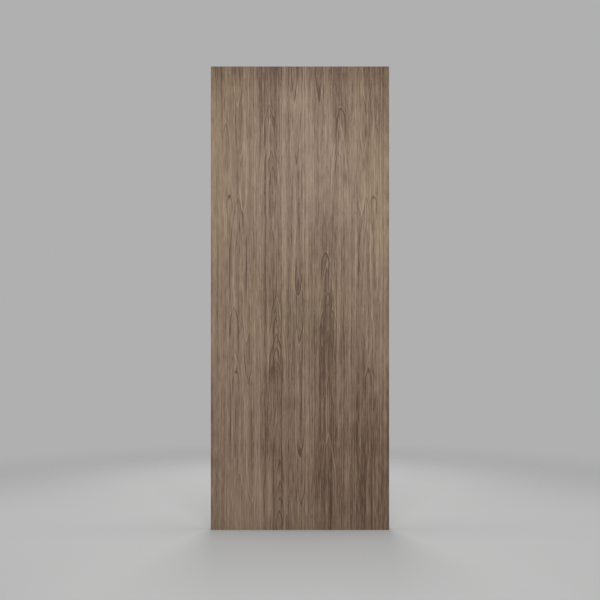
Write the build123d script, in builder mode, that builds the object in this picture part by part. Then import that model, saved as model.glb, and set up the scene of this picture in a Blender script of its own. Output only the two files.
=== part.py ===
# Oak-veneered flush door leaf, solid-cored, plain and square, with nothing fitted to it.
#
# It is laid up the way a joinery works lays one up. A flat core is framed by two stiles and two
# rails, whose ends are joined by tongues in open slots. A crossband of fibreboard is glued over each
# side, a solid oak lipping is glued down each long edge, and leaves of crown-cut oak veneer are
# laid edge to edge over everything. The four long corners are then sanded round. Top and bottom
# are sawn square, so the frame, the crossbands and the lippings all show there.
#
# Millimetres. The origin is on the hinge edge, halfway through the thickness, at the foot.
# +X runs across the door from the hinge edge to the lock edge, +Y from the front to the back,
# and +Z up.

import os

from build123d import *

# The finished leaf
door_width = 762.0
door_height = 1981.0
door_thickness = 44.0
corner_radius = 1.5

# Layers on each side of the frame and core
veneer_thickness = 0.6
crossband_thickness = 3.2

# The lippings, and the frame with its corner joints
lipping_thickness = 8.0
stile_width = 32.0
top_rail_depth = 45.0
bottom_rail_depth = 70.0
tongue_length = 12.0
tongue_thickness = 12.0
glue_gap = 0.3

# The veneer is matched outward from one joint, to the right of the middle as a face is looked at,
# and the outermost leaves are trimmed at the long edges
matched_joint = 30.0
veneer_leaf_width = 213.0

# Heights of the layers above the mid-plane of the thickness
face_y = door_thickness / 2
lipped_y = face_y - veneer_thickness
frame_y = lipped_y - crossband_thickness

# Places across the width
middle = door_width / 2
stile_outside = lipping_thickness
stile_inside = stile_outside + stile_width
slot_depth = tongue_length + glue_gap
shoulder_length = door_width - 2 * stile_inside
veneer_edges = (
    -middle,
    matched_joint - veneer_leaf_width,
    matched_joint,
    matched_joint + veneer_leaf_width,
    middle,
)

# Places up the height
core_foot = bottom_rail_depth
core_head = door_height - top_rail_depth

# Planes that the door is the same on both sides of
middle_plane = Plane.YZ.offset(middle)
thickness_plane = Plane.XZ


# Plan of the finished leaf: every piece that reaches a long corner is trimmed to it
with BuildSketch() as door_plan:
    with Locations((middle, 0)):
        RectangleRounded(door_width, door_thickness, corner_radius)


def rectangle_between(x_low, x_high, y_low, y_high):
    """Adds to the open sketch a rectangle given by its sides."""
    with Locations(((x_low + x_high) / 2, (y_low + y_high) / 2)):
        Rectangle(x_high - x_low, y_high - y_low)


# Core: a flat slab that fills the frame
with BuildPart() as core:
    with BuildSketch(Plane.XY.offset(core_foot)):
        rectangle_between(stile_inside, door_width - stile_inside, -frame_y, frame_y)
    extrude(amount=core_head - core_foot)
core.part.label = "core"


# Stiles: full height, with an open slot at each end for the tongue of a rail
with BuildPart() as hinge_stile:
    with BuildSketch():
        rectangle_between(stile_outside, stile_inside, -frame_y, frame_y)
    extrude(amount=door_height)
    for slot_foot, slot_height in ((0, bottom_rail_depth), (core_head, top_rail_depth)):
        with BuildSketch(Plane.XY.offset(slot_foot)):
            with Locations((stile_inside - slot_depth / 2, 0)):
                Rectangle(slot_depth, tongue_thickness)
        extrude(amount=slot_height, mode=Mode.SUBTRACT)
hinge_stile.part.label = "hinge_stile"

with BuildPart() as lock_stile:
    mirror(hinge_stile.part, about=middle_plane)
lock_stile.part.label = "lock_stile"


# Rails: shouldered between the stiles, with a tongue at each end
def frame_rail(foot, depth, label):
    """A rail from the height foot upward."""
    with BuildPart() as rail:
        with BuildSketch(Plane.XY.offset(foot)):
            with Locations((middle, 0)):
                Rectangle(shoulder_length, 2 * frame_y)
                Rectangle(shoulder_length + 2 * tongue_length, tongue_thickness)
        extrude(amount=depth)
    rail.part.label = label
    return rail.part


bottom_rail = frame_rail(0, bottom_rail_depth, "bottom_rail")
top_rail = frame_rail(core_head, top_rail_depth, "top_rail")


# Crossbands: one sheet over each side of the frame and core, between the lippings
with BuildPart() as front_crossband:
    with BuildSketch():
        rectangle_between(lipping_thickness, door_width - lipping_thickness, -lipped_y, -frame_y)
    extrude(amount=door_height)
front_crossband.part.label = "front_crossband"

with BuildPart() as back_crossband:
    mirror(front_crossband.part, about=thickness_plane)
back_crossband.part.label = "back_crossband"


# Lippings: solid oak down each long edge, under the veneer, with the corners sanded round
with BuildPart() as hinge_lipping:
    with BuildSketch():
        rectangle_between(0, lipping_thickness, -lipped_y, lipped_y)
        add(door_plan.sketch, mode=Mode.INTERSECT)
    extrude(amount=door_height)
hinge_lipping.part.label = "hinge_lipping"

with BuildPart() as lock_lipping:
    mirror(hinge_lipping.part, about=middle_plane)
lock_lipping.part.label = "lock_lipping"


# Veneer: leaves numbered from left to right as each face is looked at, so the back is the front
# turned about the door's upright middle line
def veneer_leaves(number, left, right):
    """A front leaf between two distances from the middle, and its fellow on the back."""
    with BuildPart() as front_leaf:
        with BuildSketch():
            rectangle_between(middle + left, middle + right, -face_y, -lipped_y)
            add(door_plan.sketch, mode=Mode.INTERSECT)
        extrude(amount=door_height)
    front_leaf.part.label = f"front_veneer_{number}"
    with BuildPart() as back_leaf:
        add(front_leaf.part.rotate(Axis((middle, 0, 0), (0, 0, 1)), 180))
    back_leaf.part.label = f"back_veneer_{number}"
    return [front_leaf.part, back_leaf.part]


pieces = [core.part, hinge_stile.part, lock_stile.part, bottom_rail, top_rail]
pieces += [front_crossband.part, back_crossband.part, hinge_lipping.part, lock_lipping.part]
for number, (left, right) in enumerate(zip(veneer_edges, veneer_edges[1:]), start=1):
    pieces += veneer_leaves(number, left, right)

os.makedirs("parts", exist_ok=True)
for piece in pieces:
    export_step(piece, f"parts/{piece.label}.step")
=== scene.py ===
# A plain oak-veneered flush door leaf, 762 x 1981 x 44 mm, standing by itself on a pale floor.
# Metres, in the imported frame: +X from the hinge edge to the lock edge, +Y from front to back, +Z up.

import math

import bpy
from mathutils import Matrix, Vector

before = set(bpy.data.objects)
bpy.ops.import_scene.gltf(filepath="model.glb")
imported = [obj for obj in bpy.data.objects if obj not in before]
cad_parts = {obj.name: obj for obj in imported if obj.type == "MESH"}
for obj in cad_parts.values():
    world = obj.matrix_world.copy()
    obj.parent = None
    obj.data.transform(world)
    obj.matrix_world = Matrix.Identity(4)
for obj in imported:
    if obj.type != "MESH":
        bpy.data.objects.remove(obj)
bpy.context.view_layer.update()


# Core
#
# A slab of three-layer chipboard, 682 x 1866 x 36.4 mm, cut to size, glued into the frame and sanded
# level with it. It shows on no side of the finished door.

MILLIMETRES = 1000.0    # in a metre: every pattern is worked out in millimetres
FLAKE_LENGTH = 8.0
FLAKE_THICKNESS = 2.0


def linear(code):
    """The linear colour, with alpha, of an sRGB hex code."""
    channels = [int(code[i:i + 2], 16) / 255 for i in (1, 3, 5)]
    return [c / 12.92 if c <= 0.04045 else ((c + 0.055) / 1.055) ** 2.4 for c in channels] + [1.0]


def add(tree, kind, inputs=None, **settings):
    """Adds a node and returns its first live output. A socket among the inputs is linked, and any
    other value is set on the input of that name, or of that number among the live ones."""
    node = tree.nodes.new("ShaderNode" + kind)
    for name, value in settings.items():
        setattr(node, name, value)
    live = [socket for socket in node.inputs if socket.enabled]
    for key, value in (inputs or {}).items():
        socket = live[key] if isinstance(key, int) else next(s for s in live if s.name == key)
        if isinstance(value, bpy.types.NodeSocket):
            tree.links.new(value, socket)
        else:
            socket.default_value = value
    return next((socket for socket in node.outputs if socket.enabled), None)


def start_material(name):
    """A new node material, and its tree with no nodes in it."""
    material = bpy.data.materials.new(name)
    material.use_nodes = True
    material.node_tree.nodes.clear()
    return material, material.node_tree


def dress(nodes, material):
    """Gives a material to each slot of the named CAD nodes."""
    for name in nodes:
        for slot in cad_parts[name].material_slots:
            slot.material = material


# Raw chipboard: pale flakes lie flat in brown glue, dry and a little rough
material, tree = start_material("raw_chipboard")
place = add(tree, "TexCoord").node.outputs["Object"]
flakes = add(tree, "Mapping", {"Vector": place, "Scale": (MILLIMETRES / FLAKE_LENGTH,
                                                          MILLIMETRES / FLAKE_THICKNESS,
                                                          MILLIMETRES / FLAKE_LENGTH)})
flakes = add(tree, "TexVoronoi", {"Vector": flakes, "Scale": 1.0}).node.outputs
shade = add(tree, "SeparateColor", {"Color": flakes["Color"]})
colour = add(tree, "ValToRGB", {"Fac": shade})
ramp = colour.node.color_ramp
ramp.elements[0].position, ramp.elements[0].color = 0.0, linear("#8f6b45")
ramp.elements[1].position, ramp.elements[1].color = 1.0, linear("#cfab78")
uneven = add(tree, "Bump", {"Height": flakes["Distance"], "Strength": 0.5, "Distance": 0.0004})
shader = add(tree, "BsdfPrincipled", {"Base Color": colour, "Roughness": 0.85, "Normal": uneven})
add(tree, "OutputMaterial", {"Surface": shader})
dress(["core"], material)


# Frame
#
# Two stiles of planed redwood, 32 mm wide, and a top and a bottom rail, tongued into open slots in
# the ends of the stiles and glued. Only the outer ends show, sawn across with the finished leaf and
# sanded: end grain on the stiles, and long grain on the rails between them.

RING = 4.0           # real rings are 1.5 to 4 mm apart, and these are the widest, to show from afar
RING_WANDER = 5.0    # how far a ring strays from a circle


def redwood(name, turn, pith, early, late):
    """Planed redwood from a tree whose pith is at a place in millimetres across the grain, which
    a turn brings upright. Each ring goes from pale early wood to a narrow orange late band, which
    stands a little proud after sanding."""
    material, tree = start_material(name)
    place = add(tree, "TexCoord").node.outputs["Object"]
    grain = add(tree, "Mapping", {"Vector": place, "Rotation": turn, "Scale": (MILLIMETRES,) * 3})

    from_pith = add(tree, "Mapping", {"Vector": grain, "Scale": (1, 1, 0),
                                      "Location": (-pith[0], -pith[1], 0)})
    out = add(tree, "VectorMath", {0: from_pith}, operation="LENGTH").node.outputs["Value"]
    wander = add(tree, "Mapping", {"Vector": grain, "Scale": (1 / 30, 1 / 30, 1 / 300)})
    wander = add(tree, "TexNoise", {"Vector": wander, "Scale": 1.0, "Detail": 1.0})
    ring = add(tree, "Math", {0: wander, 1: RING_WANDER, 2: out}, operation="MULTIPLY_ADD")
    ring = add(tree, "Math", {0: ring, 1: RING}, operation="DIVIDE")
    year = add(tree, "Math", {0: ring}, operation="FRACT")
    growth = add(tree, "FloatCurve", {"Value": year})
    curve = growth.node.mapping.curves[0]
    curve.points[1].location = (1, 0)
    for point in ((0.5, 0.12), (0.82, 0.85), (0.93, 1.0)):
        curve.points.new(*point)
    growth.node.mapping.update()

    # Fibres, which are dots on end grain and streaks along the length
    fibres = add(tree, "Mapping", {"Vector": grain, "Scale": (1 / 1.2, 1 / 1.2, 1 / 35)})
    fibres = add(tree, "TexNoise", {"Vector": fibres, "Scale": 1.0, "Detail": 3.0})
    fibres = add(tree, "MapRange", {"Value": fibres, "To Min": -0.35, "To Max": 0.35}, clamp=False)
    tone = add(tree, "Math", {0: growth, 1: fibres}, operation="ADD")
    colour = add(tree, "ValToRGB", {"Fac": tone})
    ramp = colour.node.color_ramp
    ramp.elements[0].position, ramp.elements[0].color = 0.0, linear(early)
    ramp.elements[1].position, ramp.elements[1].color = 1.0, linear(late)
    proud = add(tree, "Bump", {"Height": tone, "Strength": 0.5, "Distance": 0.0002})
    shader = add(tree, "BsdfPrincipled", {"Base Color": colour, "Roughness": 0.75, "Normal": proud})
    add(tree, "OutputMaterial", {"Surface": shader})
    return material


# End grain is darker than long grain, because it holds dust and drinks the finish that runs over
end_grain = ("#b8946a", "#8a5f38")
long_grain = ("#cfae80", "#a67547")
upright = (0, 0, 0)
lying = (0, math.pi / 2, 0)
dress(["hinge_stile"], redwood("sawn_redwood_hinge_stile", upright, (70, -48), *end_grain))
dress(["lock_stile"], redwood("sawn_redwood_lock_stile", upright, (700, 60), *end_grain))
dress(["top_rail"], redwood("planed_redwood_top_rail", lying, (1950, 55), *long_grain))
dress(["bottom_rail"], redwood("planed_redwood_bottom_rail", lying, (25, -62), *long_grain))


# Crossbands
#
# A sheet of dense fibreboard, 3.2 mm thick, glued over each side of the frame and core so that their
# joints don't show through the veneer. Its sanded edge is a thin brown line at the head and foot.

HALF_THICKNESS = 22.0    # of the whole door
VENEER_THICKNESS = 0.6
SHEET_THICKNESS = 3.2
DENSE_SKIN = 1.0         # how deep the denser skin of the sheet goes

# Sanded fibreboard: an even matt brown with no grain, denser and darker at the two faces
material, tree = start_material("sanded_fibreboard")
place = add(tree, "TexCoord").node.outputs["Object"]
felt = add(tree, "TexNoise", {"Vector": place, "Scale": MILLIMETRES / 1.5, "Detail": 3.0})
deep = add(tree, "SeparateXYZ", {"Vector": place}).node.outputs["Y"]
deep = add(tree, "Math", {0: deep, 1: MILLIMETRES}, operation="MULTIPLY")
deep = add(tree, "Math", {0: deep}, operation="ABSOLUTE")
sheet_middle = HALF_THICKNESS - VENEER_THICKNESS - SHEET_THICKNESS / 2
from_middle = add(tree, "Math", {0: deep, 1: sheet_middle}, operation="SUBTRACT")
from_middle = add(tree, "Math", {0: from_middle}, operation="ABSOLUTE")
dense = add(tree, "MapRange", {"Value": from_middle, "From Min": SHEET_THICKNESS / 2 - DENSE_SKIN,
                               "From Max": SHEET_THICKNESS / 2, "To Max": -0.4},
            interpolation_type="SMOOTHSTEP")
tone = add(tree, "Math", {0: felt, 1: dense}, operation="ADD")
colour = add(tree, "ValToRGB", {"Fac": tone})
ramp = colour.node.color_ramp
ramp.elements[0].position, ramp.elements[0].color = 0.0, linear("#4e3823")
ramp.elements[1].position, ramp.elements[1].color = 0.8, linear("#8b6845")
uneven = add(tree, "Bump", {"Height": felt, "Strength": 0.4, "Distance": 0.0001})
shader = add(tree, "BsdfPrincipled", {"Base Color": colour, "Roughness": 0.85, "Normal": uneven})
add(tree, "OutputMaterial", {"Surface": shader})
dress(["front_crossband", "back_crossband"], material)


# Lippings
#
# A strip of straight-grained oak, 8 mm thick, glued down each long edge before the faces are
# veneered, then smoked and finished with them. Its corners are sanded round with the veneer.

DOOR_HEIGHT = 1981.0
EDGE_RING = 5.0                   # real rings are 2 to 3 mm apart, and these are wider, to show
EDGE_WANDER = 9.0                 # how far a ring strays from straight
ACROSS_RINGS = (0.6, 0.8, 0.0)    # the way from ring to ring, slanting through the strip

# Smoked oak cut with its rings slanting through it: straight dark lines of pores a few millimetres
# apart, short pale flecks of rays across them, and a dull sheen
material, tree = start_material("smoked_oak_lipping")
place = add(tree, "TexCoord").node.outputs["Object"]
place = add(tree, "Mapping", {"Vector": place, "Scale": (MILLIMETRES,) * 3})
wander = add(tree, "Mapping", {"Vector": place, "Scale": (1 / 25, 1 / 25, 1 / 260)})
wander = add(tree, "TexNoise", {"Vector": wander, "Scale": 1.0, "Detail": 2.0})
slant = add(tree, "VectorMath", {0: place, 1: ACROSS_RINGS},
            operation="DOT_PRODUCT").node.outputs["Value"]
ring = add(tree, "Math", {0: wander, 1: EDGE_WANDER, 2: slant}, operation="MULTIPLY_ADD")
ring = add(tree, "Math", {0: ring, 1: EDGE_RING}, operation="DIVIDE")
bands = add(tree, "TexNoise", {"W": ring, "Scale": 0.6, "Detail": 2.0}, noise_dimensions="1D")
year = add(tree, "Math", {0: ring}, operation="FRACT")
early = add(tree, "FloatCurve", {"Value": year})
curve = early.node.mapping.curves[0]
curve.points[0].location = (0, 0.5)
curve.points[1].location = (1, 0.1)
for point in ((0.06, 1.0), (0.25, 0.7), (0.45, 0.1)):
    curve.points.new(*point)
early.node.mapping.update()

# Pores 0.3 mm wide and up to 15 mm long, drawn 1.6 mm wide so that they show
pores = add(tree, "Mapping", {"Vector": place, "Scale": (1 / 1.6, 1 / 1.6, 1 / 24)})
pores = add(tree, "TexNoise", {"Vector": pores, "Scale": 1.0, "Detail": 1.0})
pores = add(tree, "MapRange", {"Value": pores, "From Min": 0.46, "From Max": 0.62})
pores = add(tree, "Math", {0: pores, 1: early}, operation="MULTIPLY")

# Rays up to 14 mm long, moved aside so that they don't follow the pores
rays = add(tree, "Mapping", {"Vector": place, "Scale": (1 / 3, 1 / 5, 1 / 14), "Location": (7, 3, 1)})
rays = add(tree, "TexNoise", {"Vector": rays, "Scale": 1.0, "Detail": 1.0})
rays = add(tree, "MapRange", {"Value": rays, "From Min": 0.62, "From Max": 0.72, "To Max": 0.3})
tone = add(tree, "Math", {0: pores, 1: -0.5, 2: bands}, operation="MULTIPLY_ADD")
tone = add(tree, "Math", {0: tone, 1: rays}, operation="ADD")
tone = add(tree, "Math", {0: tone, 1: 0.12}, operation="ADD")

# The sawn ends have drunk more of the smoke, and the rounded corners have lost a little of it
axes = add(tree, "SeparateXYZ", {"Vector": place}).node.outputs
end = add(tree, "Math", {0: axes["Z"], 1: DOOR_HEIGHT / 2}, operation="SUBTRACT")
end = add(tree, "Math", {0: end}, operation="ABSOLUTE")
end = add(tree, "MapRange", {"Value": end, "From Min": DOOR_HEIGHT / 2 - 0.4,
                             "From Max": DOOR_HEIGHT / 2 - 0.1, "To Max": -0.1})
tone = add(tree, "Math", {0: tone, 1: end}, operation="ADD")
corner = add(tree, "Math", {0: axes["Y"]}, operation="ABSOLUTE")
corner = add(tree, "MapRange", {"Value": corner, "From Min": HALF_THICKNESS - 1.8,
                                "From Max": HALF_THICKNESS - 0.8, "To Max": 0.08})
tone = add(tree, "Math", {0: tone, 1: corner}, operation="ADD")
colour = add(tree, "ValToRGB", {"Fac": tone})
ramp = colour.node.color_ramp
ramp.elements[0].position, ramp.elements[0].color = 0.0, linear("#4e3729")
ramp.elements[1].position, ramp.elements[1].color = 1.0, linear("#917c68")
sunk = add(tree, "Bump", {"Height": pores, "Strength": 0.5, "Distance": 0.0002}, invert=True)
gloss = add(tree, "MapRange", {"Value": pores, "To Min": 0.55, "To Max": 0.75})
shader = add(tree, "BsdfPrincipled", {"Base Color": colour, "Roughness": gloss, "Normal": sunk,
                                      "Specular IOR Level": 0.3})
add(tree, "OutputMaterial", {"Surface": shader})
dress(["hinge_lipping", "lock_lipping"], material)


# Veneer
#
# Four leaves of crown-cut oak on each face, 0.6 mm thick, sanded and given a matt smoked finish.
# Each leaf shows columns of arches where the knife crossed the growth rings, with straight grain
# between them. The back repeats the front, turned round.

DOOR_WIDTH = 762.0
VENEER_RING = 6.0      # real rings are 2 to 3 mm apart, and these are wider, to show from afar
VENEER_WANDER = 5.0    # how far the grain strays from straight
USUAL_TONE = 0.521     # between 0, darkest, and 1, palest

# In the tables, places are in millimetres from the face's left edge and from the foot, and a
# strength is how much a thing lightens the tone.

# Darker and lighter patches, partly the wood's own tone and partly painted light and shade: centre
# across and up, half width, half height, strength
TONE_AND_PAINTED_LIGHT_PATCHES = (
    # Beside the left edge
    # Painted light high beside the left edge
    (30, 1530, 60, 280, 0.18),
    (40, 1230, 45, 230, 0.07),
    (40, 750, 50, 150, 0.06),
    (19, 600, 6, 1000, 0.14),
    # Painted shade down the outer rim of the left edge
    (1, 500, 7, 1500, -0.33),
    (28, 500, 7, 1500, -0.16),
    (120, 450, 110, 80, 0.05),
    (120, 400, 60, 700, 0.06),
    (150, 100, 150, 220, 0.13),
    (110, 80, 60, 110, 0.06),
    # Left of the middle
    (190, 1950, 230, 170, -0.10),
    (262, 1900, 50, 190, -0.13),
    (190, 1740, 220, 80, -0.05),
    (190, 1600, 50, 180, 0.07),
    (268, 1500, 20, 330, -0.10),
    (213, 1350, 9, 800, -0.10),
    (264, 1300, 32, 300, -0.16),
    (315, 1300, 17, 1100, 0.08),
    (252, 1250, 12, 300, -0.06),
    (292, 1250, 14, 300, -0.08),
    (273, 1240, 8, 300, 0.20),
    (179, 990, 17, 1500, 0.07),
    (268, 880, 34, 330, -0.12),
    (262, 560, 12, 150, 0.10),
    (290, 430, 90, 80, 0.10),
    (276, 300, 36, 800, -0.16),
    # Down the middle
    # Painted shade along the head
    (381, 2010, 900, 110, -0.20),
    (405, 1650, 60, 500, 0.06),
    (412, 1075, 40, 100, 0.08),
    (411, 990, 14, 1500, 0.07),
    (330, 830, 90, 280, -0.10),
    (420, 820, 35, 300, -0.12),
    (375, 330, 70, 120, 0.07),
    # Right of the middle
    (548, 1900, 40, 190, -0.08),
    (565, 1790, 40, 110, -0.08),
    (570, 1740, 30, 90, -0.07),
    (581, 1700, 8, 420, -0.12),
    # A painted sheen high on the right
    (590, 1480, 90, 260, 0.12),
    (568, 1390, 40, 90, 0.18),
    (488, 1240, 35, 80, 0.08),
    (611, 990, 18, 1500, 0.07),
    (488, 910, 30, 80, -0.09),
    (498, 820, 36, 400, -0.15),
    (485, 690, 35, 230, -0.05),
    (565, 620, 36, 350, -0.09),
    (500, 400, 38, 900, -0.28),
    (495, 150, 16, 160, 0.16),
    # Beside the right edge
    (735, 1975, 40, 80, -0.07),
    (720, 1920, 90, 170, -0.12),
    (735, 1740, 60, 90, -0.09),
    # Painted light high beside the right edge
    (735, 1400, 70, 330, 0.18),
    (715, 1240, 45, 100, 0.06),
    (740, 760, 45, 80, 0.12),
    (744, 600, 5, 1000, 0.06),
    (649, 540, 9, 130, 0.16),
    (748, 500, 7, 1500, -0.10),
    # Painted shade down the outer rim of the right edge
    (762, 500, 6, 1500, -0.42),
    (640, 480, 40, 240, -0.12),
    (643, 450, 12, 260, 0.14),
    # Darker low on the right: the wood's own figure, with painted shade towards the foot
    (650, 290, 72, 470, -0.23),
    (740, 200, 60, 430, -0.13),
)

# Small dark eyes where an arch or a vee closes: centre across and up, half width, half height,
# strength
EYES = (
    (77, 1424, 8, 14, -0.45),
    (106, 680, 8, 14, -0.45),
    (696, 1424, 8, 14, -0.35),
    (675, 682, 7, 14, -0.35),
    (373, 1048, 7, 34, -0.50),
    (359, 1856, 6, 36, -0.40),
    (462, 1862, 6, 40, -0.40),
    (384, 332, 6, 26, -0.40),
    (255, 1680, 6, 40, -0.30),
    (548, 1680, 6, 40, -0.30),
    (551, 520, 6, 40, -0.30),
)

# Where the grain runs dead straight, between two places across the face
STRAIGHT = ((0, 48), (164, 196), (300, 333), (396, 446), (560, 628), (718, 762))

# Long dark and light lines that stand out in it: middle height, half height, and each line's place
# across and strength
LONG_LINES = (
    (1890, 130, ((14, 0.10), (25, -0.15), (33, 0.15), (44, -0.20), (66, 0.18), (83, -0.21))),
    (1900, 120, ((125, -0.21), (140, 0.21), (159, 0.20), (208, -0.15))),
    (1205, 130, ((66, 0.21), (79, -0.29), (96, 0.21))),
    (1145, 130, ((134, 0.21), (153, -0.29), (168, 0.21))),
    (400, 150, ((50, 0.15), (91, 0.21), (105, -0.29), (121, 0.21))),
    (400, 150, ((155, 0.21), (175, -0.29), (194, 0.20), (206, 0.15))),
    (1240, 380, ((232, -0.29), (244, 0.10), (320, 0.12))),
    (1750, 160, ((213, -0.20), (226, -0.15))),
    (520, 240, ((253, -0.20), (328, 0.15))),
    (1340, 170, ((347, -0.21), (361, 0.21), (376, -0.21), (394, 0.21), (409, 0.15))),
    (800, 90, ((355, -0.21), (366, 0.15), (409, 0.15))),
    (580, 150, ((372, 0.21), (387, -0.21), (399, 0.21), (411, 0.15), (420, -0.15))),
    (400, 80, ((368, 0.21), (407, 0.21))),
    (140, 110, ((366, -0.21), (404, 0.15))),
    (1440, 140, ((460, -0.20), (474, 0.15))),
    (700, 220, ((468, -0.15), (490, 0.20))),
    (1900, 120, ((645, 0.20), (660, -0.21), (688, -0.18), (709, 0.15))),
    (1900, 120, ((724, -0.16), (733, 0.12), (741, -0.16), (750, 0.10))),
    (1600, 180, ((590, -0.20), (604, 0.12))),
    (1180, 130, ((620, 0.20), (632, -0.21), (646, 0.20))),
    (1190, 130, ((684, 0.20), (697, -0.29), (710, 0.21))),
    (230, 110, ((580, 0.12), (620, 0.20), (712, 0.15))),
    (640, 130, ((668, 0.15), (714, 0.15))),
)

# Arches of growth rings: middle across, height of the tip, half width, height from the shoulders to
# the tip (negative where the arch points down), length of the legs, and how dark (negative: light)
ARCHES = (
    # Upper half, left of the middle
    (250, 1808, 20, 70, 120, 0.30),
    (255, 1752, 38, 330, 120, -0.16),
    (259, 1618, 12, 70, 60, 0.20),
    (264, 1545, 9, 40, 40, 0.16),
    (258, 1300, 14, 120, 90, 0.12),
    # Upper half, right of the middle
    (556, 1806, 20, 70, 120, 0.28),
    (550, 1752, 36, 330, 120, -0.13),
    (545, 1616, 14, 70, 60, 0.15),
    # Beside the left edge, downwards
    (63, 1731, 12, 60, 120, 0.18),
    (114, 1804, 17, -150, 180, -0.16),
    (128, 1582, 17, -160, 100, -0.14),
    (78, 1432, 11, 40, 60, 0.20),
    (116, 1420, 36, 260, 330, 0.15),
    (120, 1310, 16, 200, 200, 0.12),
    (139, 1355, 15, -110, 120, -0.16),
    (98, 950, 17, 80, 120, 0.18),
    (153, 808, 16, -130, 200, -0.15),
    (103, 755, 20, 120, 80, -0.15),
    (106, 686, 14, 50, 90, 0.20),
    (161, 624, 15, -110, 100, 0.18),
    (119, 232, 14, 60, 150, 0.20),
    (175, 115, 20, -160, 150, -0.15),
    (127, 92, 14, 80, 60, -0.12),
    # Beside the right edge, downwards
    (705, 1727, 12, 60, 120, 0.18),
    (665, 1807, 17, -150, 180, -0.16),
    (654, 1590, 17, -160, 100, -0.14),
    (697, 1434, 12, 40, 60, 0.28),
    (666, 1420, 34, 260, 330, 0.15),
    (662, 1310, 15, 200, 200, 0.12),
    (644, 1355, 15, -110, 120, -0.13),
    (681, 935, 15, 90, 120, -0.13),
    (673, 690, 12, 50, 120, 0.24),
    (648, 100, 26, -320, 120, 0.10),
    # Down the middle
    (357, 1828, 16, -200, 300, 0.22),
    (461, 1830, 16, -200, 300, 0.20),
    (366, 1566, 24, -330, 200, 0.15),
    (460, 1566, 22, -300, 150, 0.12),
    (373, 1000, 13, -60, 60, 0.30),
    (380, 805, 16, -120, 250, 0.20),
    (383, 318, 14, -80, 150, 0.25),
    (388, 106, 17, -130, 150, 0.18),
    # Lower half, right of the middle
    (489, 1190, 17, 60, 80, 0.22),
    (497, 1118, 9, 60, 70, 0.22),
    (499, 1150, 32, 240, 120, -0.15),
    (501, 1017, 13, 60, 50, 0.18),
    (501, 968, 34, 110, 350, 0.20),
    (502, 855, 16, 90, 100, 0.13),
    (504, 640, 20, 160, 120, 0.12),
    (502, 416, 34, 260, 100, -0.15),
    (500, 240, 18, 140, 100, 0.10),
    # Lower half, left of the middle
    (276, 998, 15, 80, 90, 0.24),
    (277, 905, 9, 60, 60, 0.20),
    (282, 985, 38, 330, 120, -0.16),
    (279, 838, 28, 150, 90, 0.24),
    (280, 780, 14, 80, 60, 0.18),
    (276, 730, 34, 130, 300, 0.14),
    (288, 600, 18, 140, 120, 0.10),
    (285, 450, 20, 160, 120, 0.10),
    (295, 303, 13, 80, 80, 0.22),
    (296, 215, 11, 70, 50, 0.18),
    (296, 150, 13, 80, 80, 0.18),
    (293, 92, 14, 70, 60, 0.18),
)


def straight_grain(tree, ring):
    """The tone of straight grain at a growth ring: broad bands of years, single years, and the
    line of pores that starts each year, which is dark in some years and faint in others."""
    tone = 0.0
    for scale, detail, strength in ((0.3, 1.0, 0.32), (1.1, 2.0, 0.5)):
        bands = add(tree, "TexNoise", {"W": ring, "Scale": scale, "Detail": detail,
                                       "Roughness": 0.6}, noise_dimensions="1D")
        bands = add(tree, "MapRange", {"Value": bands, "To Min": -strength, "To Max": strength},
                    clamp=False)
        tone = add(tree, "Math", {0: bands, 1: tone}, operation="ADD")
    nearest = add(tree, "Math", {0: ring}, operation="ROUND")
    near = add(tree, "Math", {0: ring, 1: nearest}, operation="SUBTRACT")
    near = add(tree, "Math", {0: near}, operation="ABSOLUTE")
    year = add(tree, "TexWhiteNoise", {"W": nearest}, noise_dimensions="1D")
    year = add(tree, "Math", {0: year, 1: -0.25}, operation="MULTIPLY")
    dark = add(tree, "MapRange", {"Value": near, "From Min": 0.0, "From Max": 0.2,
                                  "To Min": year, "To Max": 0.0},
               interpolation_type="SMOOTHSTEP", clamp=False)
    return add(tree, "Math", {0: tone, 1: dark}, operation="ADD")


def broken_grain(tree, ring, up):
    """The tone between the arches, in broad bands of years that run most of the way up the door,
    and in single years, each of which shows for 300 mm or so."""
    tone = 0.0
    for scale, high, strength in ((0.3, 1400, 0.28), (1.0, 300, 0.34)):
        spot = add(tree, "CombineXYZ", {"X": ring, "Y": up})
        spot = add(tree, "Mapping", {"Vector": spot, "Scale": (scale, 1 / high, 1)})
        bands = add(tree, "TexNoise", {"Vector": spot, "Scale": 1.0, "Detail": 1.0,
                                       "Roughness": 0.6}, noise_dimensions="2D")
        bands = add(tree, "MapRange", {"Value": bands, "To Min": -strength, "To Max": strength},
                    clamp=False)
        tone = add(tree, "Math", {0: bands, 1: tone}, operation="ADD")
    return tone


def long_lines(tree, share, up, left, right):
    """How much the long lines between two places across the face lighten or darken it. They are
    drawn by each grain line's share of the door's width."""
    half_line = 6
    reach = 16    # half a line, and as far as the grain may stray
    tone = 0.0
    for height, half, lines in LONG_LINES:
        near = [line for line in lines if left - reach < line[0] < right + reach]
        if not near:
            continue
        drawn = add(tree, "FloatCurve", {"Value": share})
        mapping = drawn.node.mapping
        mapping.curves[0].points[0].location = (0, 0.5)
        mapping.curves[0].points[1].location = (1, 0.5)
        for place, strength in near:
            for across, rise in ((place - half_line, 0), (place, strength), (place + half_line, 0)):
                mapping.curves[0].points.new(across / DOOR_WIDTH, 0.5 + rise)
        mapping.extend = "HORIZONTAL"
        mapping.update()
        drawn = add(tree, "Math", {0: drawn, 1: 0.5}, operation="SUBTRACT")
        away = add(tree, "Math", {0: up, 1: float(height)}, operation="SUBTRACT")
        away = add(tree, "Math", {0: away}, operation="ABSOLUTE")
        fade = add(tree, "MapRange", {"Value": away, "From Min": 1.4 * half,
                                      "From Max": 0.5 * half},
                   interpolation_type="SMOOTHSTEP", clamp=False)
        tone = add(tree, "Math", {0: drawn, 1: fade, 2: tone}, operation="MULTIPLY_ADD")
    return tone


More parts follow.
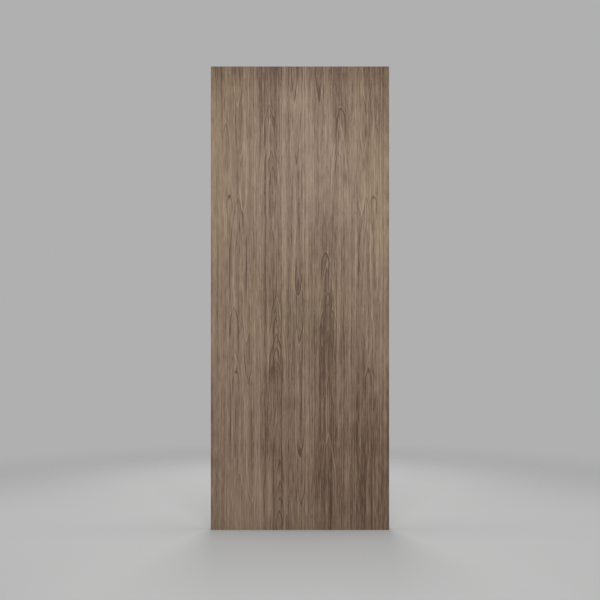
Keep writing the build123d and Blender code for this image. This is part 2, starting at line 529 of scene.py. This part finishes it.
def arches(tree, line, up, left, right):
    """How much the arches that reach between two places across the face lighten or darken it: each
    is a dark line of pores with a lighter line outside it."""
    profile = ((0.26, 0.5), (0.36, 0.52), (0.5, 0.0), (0.64, 0.68), (0.78, 0.5))
    profile_width = 32
    reach = 20    # half the profile, and as far as the grain may stray
    tone = 0.0
    for x, tip, half, cap, legs, strength in ARCHES:
        if x + half + reach < left or x - half - reach > right:
            continue
        # Millimetres out from the arch, whose sides close in by the square of the way to the tip,
        # and then as a share of the profile, which has the arch in its middle
        aside = add(tree, "Math", {0: line, 1: float(x)}, operation="SUBTRACT")
        aside = add(tree, "Math", {0: aside}, operation="ABSOLUTE")
        rise = add(tree, "Math", {0: up, 1: 1 / cap, 2: 1 - tip / cap}, operation="MULTIPLY_ADD")
        rise = add(tree, "Math", {0: rise, 1: 0.0}, operation="MAXIMUM")
        rise = add(tree, "Math", {0: rise, 1: 2.0}, operation="POWER")
        out = add(tree, "Math", {0: rise, 1: float(half), 2: aside}, operation="MULTIPLY_ADD")
        out = add(tree, "Math", {0: out, 1: 1 / profile_width, 2: 0.5 - half / profile_width},
                  operation="MULTIPLY_ADD")
        drawn = add(tree, "FloatCurve", {"Value": out})
        mapping = drawn.node.mapping
        mapping.curves[0].points[0].location = (0, 0.5)
        mapping.curves[0].points[1].location = (1, 0.5)
        for point in profile:
            mapping.curves[0].points.new(*point)
        mapping.extend = "HORIZONTAL"
        mapping.update()
        drawn = add(tree, "Math", {0: drawn, 1: 0.5}, operation="SUBTRACT")
        shoulders = tip - cap
        end = shoulders - math.copysign(legs, cap)
        fade = add(tree, "MapRange", {"Value": up, "From Min": float(end),
                                      "From Max": float(shoulders), "To Max": 2.0 * strength},
                   interpolation_type="SMOOTHSTEP", clamp=False)
        tone = add(tree, "Math", {0: drawn, 1: fade, 2: tone}, operation="MULTIPLY_ADD")
    return tone


def spots(tree, tone, grain, left, right):
    """The tone with the patches, some of which are painted light and shade, and the eyes that reach
    between two places across the face. Each fades out from a third of its size to a little beyond it."""
    stray = 8    # as far as the grain may stray
    for table, edge in ((TONE_AND_PAINTED_LIGHT_PATCHES, 1.4), (EYES, 1.2)):
        for x, z, wide, high, strength in table:
            reach = wide * edge + stray
            if x + reach < left or x - reach > right:
                continue
            spot = add(tree, "Mapping", {"Vector": grain, "Location": (-x / wide, 0, -z / high),
                                         "Scale": (1 / wide, 0, 1 / high)})
            spot = add(tree, "VectorMath", {0: spot}, operation="LENGTH").node.outputs["Value"]
            spot = add(tree, "MapRange", {"Value": spot, "From Min": 0.3, "From Max": edge,
                                          "To Min": strength, "To Max": 0.0},
                       interpolation_type="SMOOTHSTEP", clamp=False)
            tone = add(tree, "Math", {0: tone, 1: spot}, operation="ADD")
    return tone


def veneer(name, left, right):
    """Crown-cut oak, sanded, smoked and given a matt finish, on the leaf between two places across
    the face: grey brown, with a darker figure in it, sunk dark pores and a dull sheen, and some
    painted light and shade in its tone."""
    material, tree = start_material(name)
    place = add(tree, "TexCoord").node.outputs["Object"]
    place = add(tree, "Mapping", {"Vector": place, "Scale": (MILLIMETRES,) * 3})
    axes = add(tree, "SeparateXYZ", {"Vector": place}).node.outputs
    on_back = add(tree, "Math", {0: axes["Y"], 1: 0.0}, operation="GREATER_THAN")
    from_right = add(tree, "Math", {0: DOOR_WIDTH, 1: axes["X"]}, operation="SUBTRACT")
    across = add(tree, "Mix", {"Factor": on_back, "A": axes["X"], "B": from_right})
    up = axes["Z"]

    # The grain wanders, so a grain line is known by its place across before it strayed
    face = add(tree, "CombineXYZ", {"X": across, "Y": 0.0, "Z": up})
    slow = add(tree, "Mapping", {"Vector": face, "Scale": (1 / 45, 1, 1 / 400)})
    wander = add(tree, "TexNoise", {"Vector": slow, "Scale": 1.0, "Detail": 2.0})
    wander = add(tree, "MapRange", {"Value": wander, "To Min": -VENEER_WANDER,
                                    "To Max": VENEER_WANDER}, clamp=False)
    line = add(tree, "Math", {0: across, 1: wander}, operation="ADD")
    grain = add(tree, "CombineXYZ", {"X": line, "Y": 0.0, "Z": up})

    # Fibres are short and fine, and with slower lumps they break the edges of the rings
    fibres = add(tree, "Mapping", {"Vector": grain, "Scale": (1 / 2.8, 1, 1 / 64)})
    fibres = add(tree, "TexNoise", {"Vector": fibres, "Scale": 1.0, "Detail": 2.0})
    ragged = add(tree, "MapRange", {"Value": fibres, "To Min": -0.2, "To Max": 0.2}, clamp=False)
    lumps = add(tree, "Mapping", {"Vector": grain, "Scale": (1 / 16, 1, 1 / 200)})
    lumps = add(tree, "TexNoise", {"Vector": lumps, "Scale": 1.0, "Detail": 1.0})
    lumps = add(tree, "MapRange", {"Value": lumps, "To Min": -0.45, "To Max": 0.45}, clamp=False)
    broken = add(tree, "Math", {0: ragged, 1: lumps}, operation="ADD")

    # Straight grain in some places across the face, and broken grain between them
    fade_width = 12
    ring = add(tree, "Math", {0: line, 1: 1 / VENEER_RING, 2: broken}, operation="MULTIPLY_ADD")
    share = add(tree, "Math", {0: line, 1: 1 / DOOR_WIDTH}, operation="MULTIPLY")
    runs_straight = add(tree, "FloatCurve", {"Value": share})
    mapping = runs_straight.node.mapping
    mapping.curves[0].points[0].location = (0, 1)
    for (_, end), (start, _) in zip(STRAIGHT, STRAIGHT[1:]):
        for edge, level in ((end, 1), (end + fade_width, 0), (start - fade_width, 0), (start, 1)):
            mapping.curves[0].points.new(edge / DOOR_WIDTH, level)
    mapping.extend = "HORIZONTAL"
    mapping.update()
    tone = add(tree, "Mix", {"Factor": runs_straight, "A": broken_grain(tree, ring, up),
                             "B": straight_grain(tree, ring)})
    tone = add(tree, "Math", {0: long_lines(tree, share, up, left, right), 1: tone},
               operation="ADD")

    # Arches, whose lines sway with the fibres and lumps and are stronger in some places
    sway_across = add(tree, "Math", {0: ragged, 1: 12.0, 2: line}, operation="MULTIPLY_ADD")
    sway_up = add(tree, "Math", {0: lumps, 1: 50.0, 2: up}, operation="MULTIPLY_ADD")
    drawn = arches(tree, sway_across, sway_up, left, right)
    uneven = add(tree, "Mapping", {"Vector": grain, "Scale": (1 / 9, 1, 1 / 70)})
    uneven = add(tree, "TexNoise", {"Vector": uneven, "Scale": 1.0, "Detail": 1.0})
    uneven = add(tree, "MapRange", {"Value": uneven, "From Min": 0.3, "From Max": 0.7,
                                    "To Min": 1.0, "To Max": 2.6}, clamp=False)
    tone = add(tree, "Math", {0: drawn, 1: uneven, 2: tone}, operation="MULTIPLY_ADD")

    # Streaks as wide as a few rings, and finer shorter ones
    for wide, high, strength in ((22, 1400, 0.28), (3.4, 320, 0.54)):
        streaks = add(tree, "Mapping", {"Vector": grain, "Scale": (1 / wide, 1, 1 / high)})
        streaks = add(tree, "TexNoise", {"Vector": streaks, "Scale": 1.0, "Detail": 2.0,
                                         "Roughness": 0.6})
        streaks = add(tree, "MapRange", {"Value": streaks, "To Min": -strength,
                                         "To Max": strength}, clamp=False)
        tone = add(tree, "Math", {0: tone, 1: streaks}, operation="ADD")

    # Fibres everywhere, then the patches, some of them painted light and shade, and the eyes
    speckle = add(tree, "MapRange", {"Value": fibres, "To Min": -0.76, "To Max": 0.76}, clamp=False)
    tone = add(tree, "Math", {0: tone, 1: speckle}, operation="ADD")
    tone = add(tree, "Math", {0: tone, 1: USUAL_TONE}, operation="ADD")
    tone = spots(tree, tone, grain, left, right)

    # Pores 0.3 mm wide and up to 20 mm long, drawn 1.4 mm wide so that they show
    pores = add(tree, "Mapping", {"Vector": grain, "Scale": (1 / 1.4, 1, 1 / 22)})
    pores = add(tree, "TexNoise", {"Vector": pores, "Scale": 1.0, "Detail": 1.0})
    pores = add(tree, "MapRange", {"Value": pores, "From Min": 0.54, "From Max": 0.68},
                interpolation_type="SMOOTHSTEP", clamp=False)
    tone = add(tree, "Math", {0: pores, 1: -0.15, 2: tone}, operation="MULTIPLY_ADD")
    colour = add(tree, "ValToRGB", {"Fac": tone})
    ramp = colour.node.color_ramp
    ramp.elements[0].position, ramp.elements[0].color = 0.0, linear("#4e3729")
    ramp.elements[1].position, ramp.elements[1].color = 1.0, linear("#917c68")

    # The smoke has taken yellower towards both long edges, most of all in the upper half, and in
    # one wide patch at mid-height, given by its centre, half width and half height
    from_middle = add(tree, "Math", {0: line, 1: DOOR_WIDTH / 2}, operation="SUBTRACT")
    from_middle = add(tree, "Math", {0: from_middle}, operation="ABSOLUTE")
    outer = add(tree, "MapRange", {"Value": from_middle, "From Min": 80.0, "From Max": 370.0},
                interpolation_type="SMOOTHSTEP", clamp=False)
    upper = add(tree, "MapRange", {"Value": up, "From Min": 300.0, "From Max": 1800.0},
                interpolation_type="SMOOTHSTEP", clamp=False)
    x, z, wide, high = 381, 980, 280, 300
    patch = add(tree, "Mapping", {"Vector": grain, "Location": (-x / wide, 0, -z / high),
                                  "Scale": (1 / wide, 0, 1 / high)})
    patch = add(tree, "VectorMath", {0: patch}, operation="LENGTH").node.outputs["Value"]
    patch = add(tree, "MapRange", {"Value": patch, "From Min": 0.2, "From Max": 1.3,
                                   "To Min": 1.0, "To Max": 0.0},
                interpolation_type="SMOOTHSTEP", clamp=False)
    yellow = add(tree, "Math", {0: outer, 1: upper, 2: patch}, operation="MULTIPLY_ADD")
    colour = add(tree, "Mix", {"Factor": yellow, "A": colour, "B": linear("#fbfdf3")},
                 data_type="RGBA", blend_type="MULTIPLY")

    # The finish sinks into the pores and is dull there, and has a low sheen between them
    sunk = add(tree, "Bump", {"Height": pores, "Strength": 0.5, "Distance": 0.0002}, invert=True)
    gloss = add(tree, "MapRange", {"Value": pores, "To Min": 0.55, "To Max": 0.75}, clamp=False)
    shader = add(tree, "BsdfPrincipled", {"Base Color": colour, "Roughness": gloss, "Normal": sunk,
                                          "Specular IOR Level": 0.3})
    add(tree, "OutputMaterial", {"Surface": shader})
    return material


leaf_joints = (0.0, 198.0, 411.0, 624.0, DOOR_WIDTH)
for leaf, (left, right) in enumerate(zip(leaf_joints, leaf_joints[1:]), start=1):
    dress([f"front_veneer_{leaf}", f"back_veneer_{leaf}"],
          veneer(f"smoked_oak_veneer_{leaf}", left, right))


# Stage
#
# A pale round floor that fades out into a plain backdrop, so the door can be seen from any side.

middle_x = DOOR_WIDTH / 2 / MILLIMETRES
floor_radius = 3.2
floor_corners = 96
fade_start = 1.4
fade_end = 3.1

corners = []
for i in range(floor_corners):
    turn = math.tau * i / floor_corners
    corners.append((middle_x + floor_radius * math.cos(turn), floor_radius * math.sin(turn), 0.0))
floor_mesh = bpy.data.meshes.new("floor")
floor_mesh.from_pydata(corners, [], [tuple(range(floor_corners))])
floor = bpy.data.objects.new("floor", floor_mesh)
bpy.context.collection.objects.link(floor)

material, tree = start_material("pale_floor")
place = add(tree, "TexCoord").node.outputs["Object"]
away = add(tree, "Mapping", {"Vector": place, "Location": (-middle_x, 0, 0)})
away = add(tree, "VectorMath", {0: away}, operation="LENGTH").node.outputs["Value"]
fade = add(tree, "MapRange", {"Value": away, "From Min": fade_start, "From Max": fade_end},
           interpolation_type="SMOOTHSTEP")
shader = add(tree, "BsdfPrincipled", {"Base Color": linear("#a2a2a2"), "Roughness": 0.9,
                                      "Specular IOR Level": 0.2})
clear = add(tree, "BsdfTransparent")
add(tree, "OutputMaterial", {"Surface": add(tree, "MixShader", {0: fade, 1: shader, 2: clear})})
floor_mesh.materials.append(material)

# The backdrop is seen by the camera and in reflections, and lights the door more dimly
world = bpy.data.worlds.new("studio")
bpy.context.scene.world = world
world.use_nodes = True
world.node_tree.nodes.clear()
tree = world.node_tree
path = add(tree, "LightPath").node.outputs
shown = add(tree, "Math", {0: path["Is Camera Ray"], 1: path["Is Glossy Ray"]}, operation="MAXIMUM")
shown = add(tree, "Math", {0: shown, 1: path["Is Transmission Ray"]}, operation="MAXIMUM")
seen = add(tree, "Background", {"Color": linear("#b0b0b0"), "Strength": 1.0})
light = add(tree, "Background", {"Color": (1, 1, 1, 1), "Strength": 0.35})
add(tree, "OutputWorld", {"Surface": add(tree, "MixShader", {0: shown, 1: light, 2: seen})})


def softbox(name, place, aim, size, power):
    """A square area lamp of a size in metres and a power in watts, turned to a point."""
    lamp = bpy.data.lights.new(name, "AREA")
    lamp.size = size
    lamp.energy = power
    holder = bpy.data.objects.new(name, lamp)
    holder.location = place
    turn = Vector(aim) - Vector(place)
    holder.rotation_euler = turn.to_track_quat("-Z", "Y").to_euler()
    bpy.context.collection.objects.link(holder)


softbox("key", (0.45, -2.5, 1.7), (0.38, 0, 1.3), 1.2, 55)
softbox("back", (0.31, 2.5, 1.7), (0.38, 0, 1.3), 1.2, 55)
softbox("hinge_side", (-2.4, 0, 1.7), (0.0, 0, 1.1), 0.8, 30)
softbox("lock_side", (3.16, 0, 1.7), (0.76, 0, 1.1), 0.8, 30)
softbox("overhead", (0.39, 0, 3.8), (0.38, 0, 1.9), 0.5, 22)

# The camera stands square on to the front, a little below the middle of the door
camera_height = 0.983
camera_distance = 5.0    # from the front
optics = bpy.data.cameras.new("camera")
optics.sensor_width = 36
optics.lens = 70.2
camera = bpy.data.objects.new("camera", optics)
camera.location = (middle_x, -HALF_THICKNESS / MILLIMETRES - camera_distance, camera_height)
camera.rotation_euler = (math.pi / 2, 0, 0)
bpy.context.collection.objects.link(camera)
bpy.context.scene.camera = camera
bpy.context.scene.view_settings.view_transform = "Standard"
